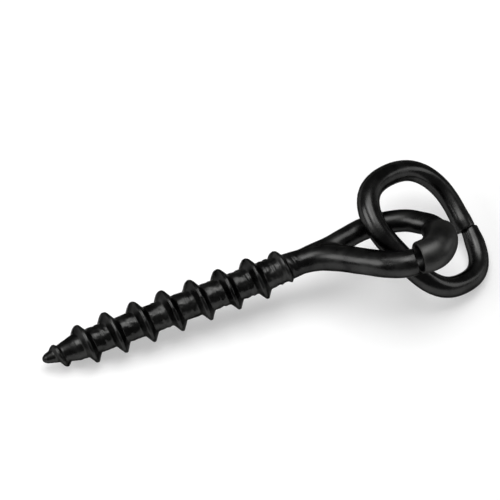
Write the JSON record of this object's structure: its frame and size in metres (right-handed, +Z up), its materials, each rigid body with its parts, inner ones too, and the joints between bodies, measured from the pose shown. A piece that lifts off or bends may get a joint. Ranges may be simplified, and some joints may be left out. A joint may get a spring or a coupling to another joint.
{
  "type": "bait screw with link ring",
  "caption": "Small black pointed screw with a coarse right-hand thread, an open forged eye closed by a crimped sleeve, and a loose split ring through the eye for a line or hook.",
  "frame": {"origin": "on the surface the object lies on, below the middle of its box at rest", "axes": "+X from the screw's tip towards the eye, as seen from above; +Z up; the screw rises 7 degrees towards the eye"},
  "size_m": [0.023, 0.0072, 0.0052],
  "materials": {
    "screw_black": "satin black nickel",
    "sleeve_black": "satin black nickel",
    "ring_black": "satin black nickel"
  },
  "bodies": {
    "screw": {"screw_eye": "screw_black", "eye_sleeve": "sleeve_black"},
    "ring": {"link_ring": "ring_black"}
  },
  "joints": [
    {"name": "ring_swing", "type": "hinge", "parent": "screw", "child": "ring", "pos_m": [0.00616, 0.00068, 0.00277], "axis": [0.9635, -0.1783, 0.1997], "range_deg": [0, 115]}
  ]
}
